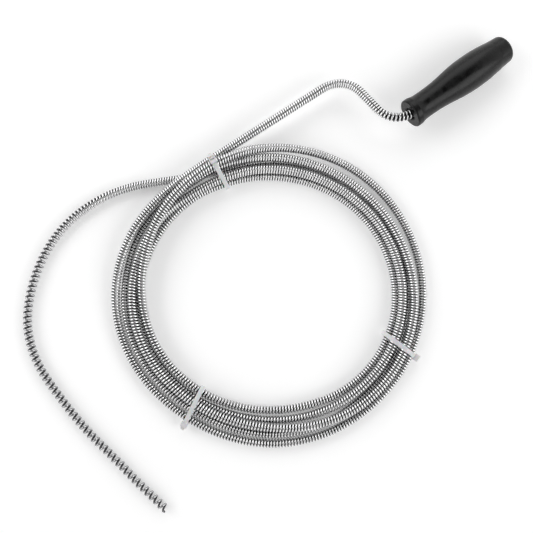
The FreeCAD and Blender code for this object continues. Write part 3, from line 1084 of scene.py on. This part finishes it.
@dataclass
class Studio:
    """A pale floor, soft lights and a camera straight above.

    Attributes:
        middle: the ring's middle, on the table.
        camera_at: the camera's place in plan, from the ring's middle.
        distance: from the camera down to the middle of the cable's height.
        cable_height: that height.
        lens: focal length in millimetres.
        floor_size: side of the floor.
        floor_drop: how far the floor is under the cable.
        paper_grey: how pale the floor is.
        paper_glow: how much light the floor gives off.
        walls_end: height of a direction, 1 being straight up, under which the room is white.
        ceiling_starts: the same, over which it is nearly black.
        ceiling_grey: how pale it is there.
    """

    middle: Vector
    camera_at: tuple[float, float] = (-3.4 * MM, 26.6 * MM)
    distance: float = 568.5 * MM
    cable_height: float = 10.0 * MM
    lens: float = 40.0
    floor_size: float = 20.0
    floor_drop: float = 0.5 * MM
    paper_grey: float = 0.93
    paper_glow: float = 0.25
    walls_end: float = 0.66
    ceiling_starts: float = 0.83
    ceiling_grey: float = 0.015

    def build(self) -> None:
        """Adds the floor, the lights, the room's light and the camera."""
        self.floor()
        for softbox in SOFTBOXES:
            softbox.add(self.middle)
        self.room()
        self.camera()

    def floor(self) -> None:
        """Adds the floor, a sheet of white paper."""
        deselect_all()
        floor_middle = (self.middle.x, self.middle.y, -self.floor_drop)
        bpy.ops.mesh.primitive_plane_add(size=self.floor_size, location=floor_middle)
        floor = bpy.context.object
        floor.name = "studio_floor"
        settle(floor)
        paper = bpy.data.materials.new("studio_paper")
        paper.use_nodes = True
        shader = paper.node_tree.nodes["Principled BSDF"]
        shader.inputs["Base Color"].default_value = (*[self.paper_grey] * 3, 1.0)
        shader.inputs["Emission Color"].default_value = (1.0, 1.0, 1.0, 1.0)
        shader.inputs["Emission Strength"].default_value = self.paper_glow
        shader.inputs["Roughness"].default_value = 0.9
        shader.inputs["Specular IOR Level"].default_value = 0.1
        floor.data.materials.append(paper)

    def room(self) -> None:
        """Adds the light of a white room with a dark ceiling, which gives the metal its contrast."""
        world = bpy.data.worlds.new("studio_room")
        world.use_nodes = True
        nodes = world.node_tree.nodes
        links = world.node_tree.links
        back = nodes["Background"]
        back.inputs["Strength"].default_value = 1.0
        direction = nodes.new("ShaderNodeTexCoord")
        upright = nodes.new("ShaderNodeSeparateXYZ")
        links.new(direction.outputs["Generated"], upright.inputs["Vector"])
        ramp = nodes.new("ShaderNodeValToRGB")
        links.new(upright.outputs["Z"], ramp.inputs["Fac"])
        stops = ramp.color_ramp.elements
        stops[0].position = self.walls_end
        stops[0].color = (1.0, 1.0, 1.0, 1.0)
        stops[1].position = self.ceiling_starts
        stops[1].color = (*[self.ceiling_grey] * 3, 1.0)
        links.new(ramp.outputs["Color"], back.inputs["Color"])
        bpy.context.scene.world = world
        bpy.context.scene.view_settings.view_transform = "Standard"

    def camera(self) -> None:
        """Adds the camera, looking straight down."""
        x, y = self.camera_at
        place = self.middle + Vector((x, y, self.cable_height + self.distance))
        bpy.ops.object.camera_add(location=place, rotation=(0.0, 0.0, 0.0))
        camera = bpy.context.object
        camera.data.lens = self.lens
        camera.data.sensor_width = 36.0
        camera.data.clip_start = 0.01
        bpy.context.scene.camera = camera


def dress(node: str, material: bpy.types.Material) -> None:
    """Gives a CAD node its material.

    Args:
        node: the node's name.
        material: what it is made of.
    """
    piece = frame["nodes"][node]
    piece.data.materials.clear()
    piece.data.materials.append(material)
    LOG.info("%s: %s", node, material.name)


def main() -> None:
    """Builds every piece of the auger and the studio round it."""
    logging.basicConfig(level=logging.INFO, format="%(message)s")
    group = build_worn_surface()
    wire = SPRING_WIRE.material(group)
    # Paints shade and grime into the grooves of the wire.
    WireShadeAndGrime().add_to(wire)
    zinc = ZINC_PLATE.material(group)
    black = GRIP_BLACK.material(group)
    nylon = CLEAR_NYLON.material(group)
    crank = Crank()
    cable = FreeCable(crank)
    Studio(cable.middle).build()
    phase = crank.build(wire)[1]
    cable.build(wire, phase, [tie.build(cable, nylon) for tie in TIES])
    dress("core_rod", OILED_ROD.material(group))
    for node in ("front_washer", "rear_washer", "push_nut"):
        dress(node, zinc)
    for node in ("grip_shell", "grip_end_cap"):
        dress(node, black)


if __name__ == "__main__":
    main()
